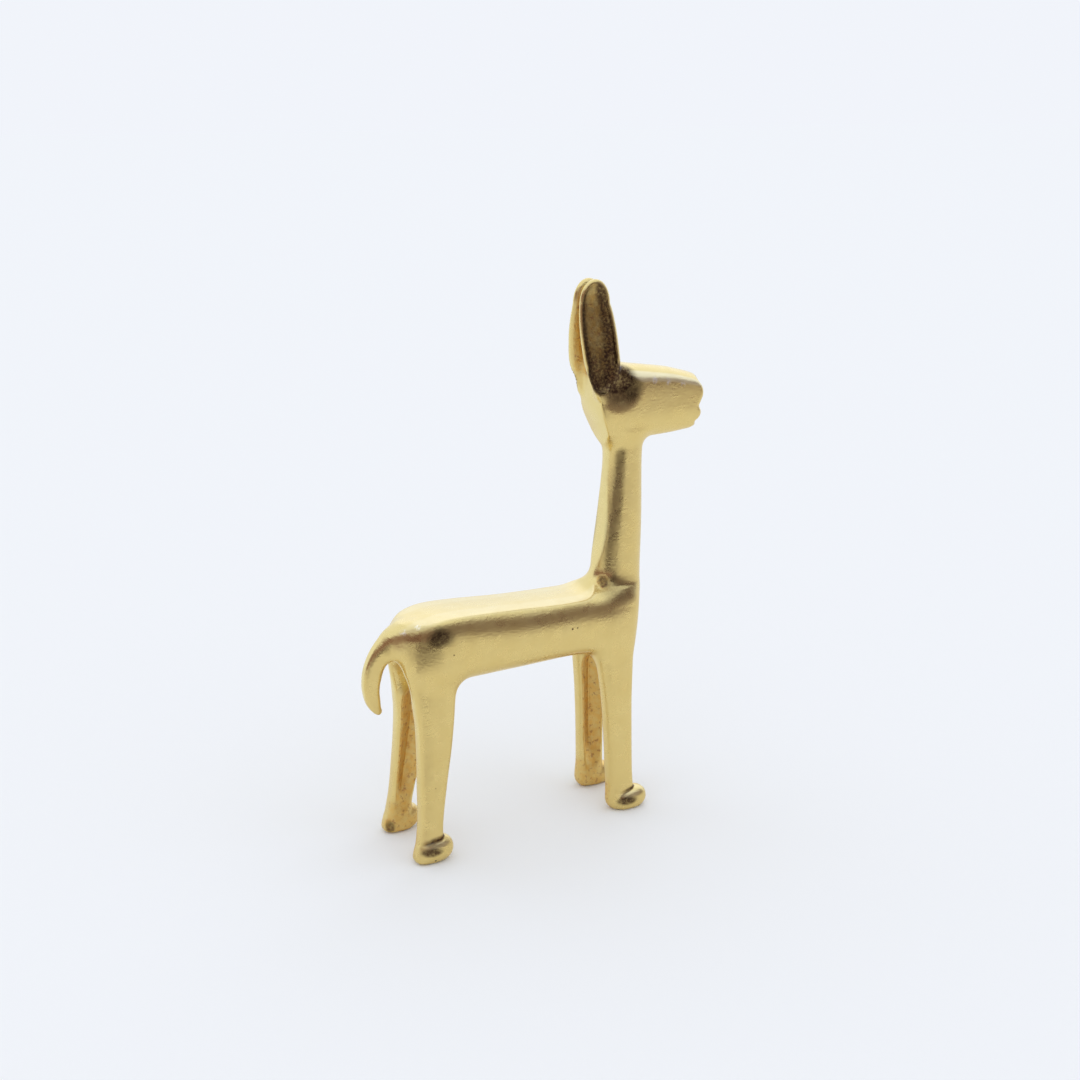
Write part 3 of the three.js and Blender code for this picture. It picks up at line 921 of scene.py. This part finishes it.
# The dark brown is painted shade and dark reflections, and a dark spot on the left hind heel; the pale
# gold is painted highlight.
PAINTED_DARK_BROWN, HIGHLIGHT_GOLD = (0.075, 0.040, 0.022), (0.93, 0.82, 0.5)
PIT, GLINT = (0.10, 0.05, 0.02), (0.95, 0.86, 0.66)
# Depths of the brushed grain and of the cast skin, m.
GRAIN_DEPTH, SKIN_DEPTH = 0.00003, 0.00012


def satin_gold():
    """Satin plate; the mesh says where it is rough cast skin, where shade, dark reflections and dark
    spots are painted, and where highlights are painted.
    """
    material = bpy.data.materials.new("satin_gold")
    material.use_nodes = True
    tree = material.node_tree
    tree.nodes.clear()
    sh = Shading(tree)
    out = tree.nodes.new("ShaderNodeOutputMaterial")
    shader = tree.nodes.new("ShaderNodeBsdfPrincipled")
    shader.inputs["Metallic"].default_value = 1.0
    tree.links.new(shader.outputs[0], out.inputs[0])
    place = tree.nodes.new("ShaderNodeTexCoord").outputs["Object"]

    def spots(table, grow):
        """1 at the middles of a table's spots, 0 past their radii times grow."""
        nearest = None
        for x, y, z, radius in table:
            away = sh.vector("DISTANCE", place, (x * MM, y * MM, z * MM))
            spot = sh.remap(away, radius * grow * MM, 0.35 * radius * MM, smooth=True)
            nearest = spot if nearest is None else sh.maths("MAXIMUM", nearest, spot)
        return nearest

    cast, dark, painted_highlight = sh.attribute("cast"), sh.attribute("dark"), sh.attribute("painted_highlight")
    pits = spots(PITS, 1.0)
    ragged = sh.remap(sh.noise(place, 2600, 3, 0.6), 0.42, 0.6, smooth=True)
    glints = sh.maths("MULTIPLY", spots(GLINTS, 1.4), ragged)

    colour = sh.mix(sh.noise(place, 420, 3), GOLD_DEEP, GOLD_LIGHT)
    stain = sh.remap(sh.noise(place, 1500, 3), 0.38, 0.62, 0.25, 0.95)
    colour = sh.mix(sh.maths("MULTIPLY", cast, stain), colour, CAST_SKIN)
    specks = sh.remap(sh.noise(place, 2100, 4, 0.65), 0.56, 0.64, smooth=True)
    rust = sh.maths("MULTIPLY", cast, specks)
    colour = sh.mix(sh.maths("MULTIPLY", rust, 0.7), colour, RUST)
    # Painted shade and dark reflections, mottled; also the dark spot on the left hind heel.
    mottle = sh.remap(sh.noise(place, 3300, 4, 0.7), 0.45, 0.62, 1.0, 0.7)
    colour = sh.mix(sh.maths("MULTIPLY", dark, mottle), colour, PAINTED_DARK_BROWN)
    # Painted highlight on the ridges and on the lips of the feet.
    colour = sh.mix(sh.maths("MULTIPLY", painted_highlight, 0.8), colour, HIGHLIGHT_GOLD)
    colour = sh.mix(pits, colour, PIT)
    colour = sh.mix(glints, colour, GLINT)
    tree.links.new(colour, shader.inputs["Base Color"])

    satin = sh.remap(sh.noise(place, 900, 3), 0.3, 0.7, 0.24, 0.34)
    rough = sh.maths("ADD", satin, sh.maths("MULTIPLY", sh.maths("MAXIMUM", cast, painted_highlight), 0.16))
    tree.links.new(rough, shader.inputs["Roughness"])

    brushed = sh.vector("MULTIPLY", place, (0.35, 1.0, 1.0))
    dots = sh.noise(place, 3400, 2, 0.5)
    lines = sh.maths("MULTIPLY", sh.noise(brushed, 4600, 1), 0.8)
    fine = sh.bump(sh.maths("ADD", dots, lines), GRAIN_DEPTH, 0.5)
    skin = sh.maths("MULTIPLY", sh.noise(place, 2600, 4, 0.7), cast)
    height = sh.maths("SUBTRACT", skin, sh.maths("MULTIPLY", pits, 0.9))
    tree.links.new(sh.bump(height, SKIN_DEPTH, 0.55, fine), shader.inputs["Normal"])
    return material


def plain(name, colour, roughness):
    """A matt material of one colour."""
    material = bpy.data.materials.new(name)
    material.use_nodes = True
    shader = material.node_tree.nodes["Principled BSDF"]
    shader.inputs["Base Color"].default_value = (*colour, 1)
    shader.inputs["Roughness"].default_value = roughness
    shader.inputs["Specular IOR Level"].default_value = 0.0
    return material


# ---------------------------------------------------------------- build
RELAX_ROUNDS = 3
block = figurine()
vertices, quads = surface_nets(block)
vertices, normals = relax(block, vertices, quads, RELAX_ROUNDS)
layers = zones(vertices)
gold = satin_gold()
for name, region in REGIONS.items():
    mesh = clipped_piece(name, vertices, normals, quads, layers, region)
    shade(mesh)
    mesh.materials.append(gold)
    piece = bpy.data.objects.new("cast_" + name, mesh)
    bpy.context.scene.collection.objects.link(piece)
    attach(piece, "root")
    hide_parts(name)

# ---------------------------------------------------------------- stage, light, camera
FLOOR_REACH = 3.0
floor_mesh = bpy.data.meshes.new("floor")
floor_corners = [(FLOOR_REACH * x, FLOOR_REACH * y, 0) for x, y in ((-1, -1), (1, -1), (1, 1), (-1, 1))]
floor_mesh.from_pydata(floor_corners, [], [(0, 1, 2, 3)])
floor = bpy.data.objects.new("floor", floor_mesh)
floor_mesh.materials.append(plain("pale_floor", (0.88, 0.89, 0.905), 0.8))
bpy.context.scene.collection.objects.link(floor)


def glowing(name):
    """A new material that only glows, with the socket its colour goes into."""
    material = bpy.data.materials.new(name)
    material.use_nodes = True
    tree = material.node_tree
    glow = tree.nodes.new("ShaderNodeEmission")
    tree.links.new(glow.outputs[0], tree.nodes["Material Output"].inputs["Surface"])
    return material, Shading(tree), glow.inputs["Color"]


def only_reflected(name, points, faces, material):
    """A surface round the figurine that only reflections see."""
    mesh = bpy.data.meshes.new(name)
    mesh.from_pydata(points, [], faces)
    mesh.materials.append(material)
    surface = bpy.data.objects.new(name, mesh)
    bpy.context.scene.collection.objects.link(surface)
    surface.visible_camera = False
    surface.visible_diffuse = False
    surface.visible_shadow = False


def towards(bearing, lift):
    """Unit direction; bearings are in degrees, from the animal's right side towards its muzzle."""
    b, e = math.radians(bearing), math.radians(lift)
    return math.cos(e) * math.sin(b), -math.cos(e) * math.cos(b), math.sin(e)


# A flag is an arc of this many flats, this high over the floor, m.
FLAG_STEPS = 24
FLAG_HEIGHT = 0.0008


def floor_flag(name, first, last, near, far, brightness):
    """An arc just over the floor, between two bearings and two distances."""
    points = []
    for i in range(FLAG_STEPS + 1):
        x, y, _ = towards(first + (last - first) * i / FLAG_STEPS, 0)
        points += [(near * x, near * y, FLAG_HEIGHT), (far * x, far * y, FLAG_HEIGHT)]
    faces = [(2 * i, 2 * i + 2, 2 * i + 3, 2 * i + 1) for i in range(FLAG_STEPS)]
    material, sh, colour = glowing(name)
    sh.feed(colour, brightness)
    only_reflected(name, points, faces, material)


# The dome's radius, its flats around and up, and the elevation of its top.
DOME = 0.9
DOME_AROUND, DOME_UP, DOME_TOP = 72, 24, 88
# The room round the table, as reflections see it. Each part has edges in degrees, with their softness:
# first and last bearing, softness, low and high elevation, their softnesses, and a brightness.
ROOM = [
    ((-12, 84, 18), (-2, 37, 8, 6), (0.23, 0.18, 0.21)),
    ((-8, 17, 8), (4, 40, 6, 6), (0.05, 0.035, 0.045)),
    ((-118, -8, 8), (2, 38, 6, 6), (0.27, 0.16, 0.18)),
    ((95, 200, 25), (20, 95, 12, 8), (1.3, 1.45, 1.95)),
]
SKY = (1.04, 1.15, 1.38)


def edged(sh, inside, value, low, high, soft_low, soft_high):
    """Narrows a mask to a value between two soft edges."""
    inside = sh.maths("MULTIPLY", inside, sh.remap(value, low - soft_low, low + soft_low, smooth=True))
    return sh.maths("MULTIPLY", inside, sh.remap(value, high + soft_high, high - soft_high, smooth=True))


def room_dome():
    """A dome of sky with the room's darker and brighter parts on it."""
    points = []
    faces = []
    for j in range(DOME_UP + 1):
        for i in range(DOME_AROUND):
            direction = towards(360 * i / DOME_AROUND, DOME_TOP * j / DOME_UP)
            points.append(tuple(DOME * c for c in direction))
    for j in range(DOME_UP):
        row, above = j * DOME_AROUND, (j + 1) * DOME_AROUND
        for i in range(DOME_AROUND):
            k = (i + 1) % DOME_AROUND
            faces.append((row + i, row + k, above + k, above + i))
    faces.append(tuple(DOME_UP * DOME_AROUND + i for i in range(DOME_AROUND)))
    material, sh, target = glowing("room_glow")
    place = sh.nodes.new("ShaderNodeTexCoord").outputs["Object"]
    split = sh.nodes.new("ShaderNodeSeparateXYZ")
    sh.feed(split.inputs[0], place)
    x, y, z = split.outputs
    bearing = sh.maths("MULTIPLY", sh.maths("ARCTAN2", x, sh.maths("MULTIPLY", y, -1.0)), 180 / math.pi)
    lift = sh.maths("MULTIPLY", sh.maths("ARCSINE", sh.maths("DIVIDE", z, DOME)), 180 / math.pi)
    colour = SKY
    for (first, last, soft), (low, high, soft_low, soft_high), brightness in ROOM:
        inside = sh.remap(bearing, first - soft, first + soft, smooth=True)
        # Bearings end at 180 degrees, so a part that reaches past that has no second edge.
        if last < 180:
            second_edge = sh.remap(bearing, last + soft, last - soft, smooth=True)
            inside = sh.maths("MULTIPLY", inside, second_edge)
        inside = edged(sh, inside, lift, low, high, soft_low, soft_high)
        colour = sh.mix(inside, colour, brightness)
    sh.feed(target, colour)
    only_reflected("room_dome", points, faces, material)


room_dome()
# Flags on the table: name, first and last bearing, near and far edge, colour.
floor_flag("right_edge", 12, 90, 0.24, 0.42, (0.64, 0.60, 0.64))
floor_flag("right_flag", 12, 90, 0.42, 0.9, (0.38, 0.32, 0.34))
floor_flag("near_flag", -42, 9, 0.112, 0.9, (0.09, 0.06, 0.065))
floor_flag("rear_card", -178, -100, 0.04, 0.9, (0.97, 1.08, 1.3))
floor_flag("far_edge", 112, 176, 0.15, 0.9, (0.86, 0.88, 0.9))

# The world lights everything with one colour and shows the camera another behind the floor.
DAYLIGHT = (1.0, 1.02, 1.06)
FLOOR_GLOW = (0.88, 0.905, 0.96)
world = bpy.data.worlds.new("studio")
bpy.context.scene.world = world
world.use_nodes = True
wn, wl = world.node_tree.nodes, world.node_tree.links
background = wn["Background"]
seen = wn.new("ShaderNodeLightPath").outputs["Is Camera Ray"]
blend = wn.new("ShaderNodeMix")
blend.data_type = "RGBA"
wl.new(seen, blend.inputs[0])
blend.inputs[6].default_value = (*DAYLIGHT, 1)
blend.inputs[7].default_value = (*FLOOR_GLOW, 1)
wl.new(blend.outputs[2], background.inputs["Color"])

# The camera, m and degrees: its place, how far it looks down and how far it is turned to the right.
CAMERA_PLACE = (-0.0762, -0.1352, 0.0786)
CAMERA_DOWN, CAMERA_TURN = 16.6, 29.5
camera_data = bpy.data.cameras.new("camera")
camera = bpy.data.objects.new("camera", camera_data)
camera_data.lens = 50
camera_data.sensor_width = 36
camera_data.clip_start = 0.005
camera.location = CAMERA_PLACE
camera.rotation_euler = (math.radians(90 - CAMERA_DOWN), 0, math.radians(-CAMERA_TURN))
bpy.context.scene.collection.objects.link(camera)
bpy.context.scene.camera = camera
bpy.context.scene.view_settings.view_transform = "Standard"
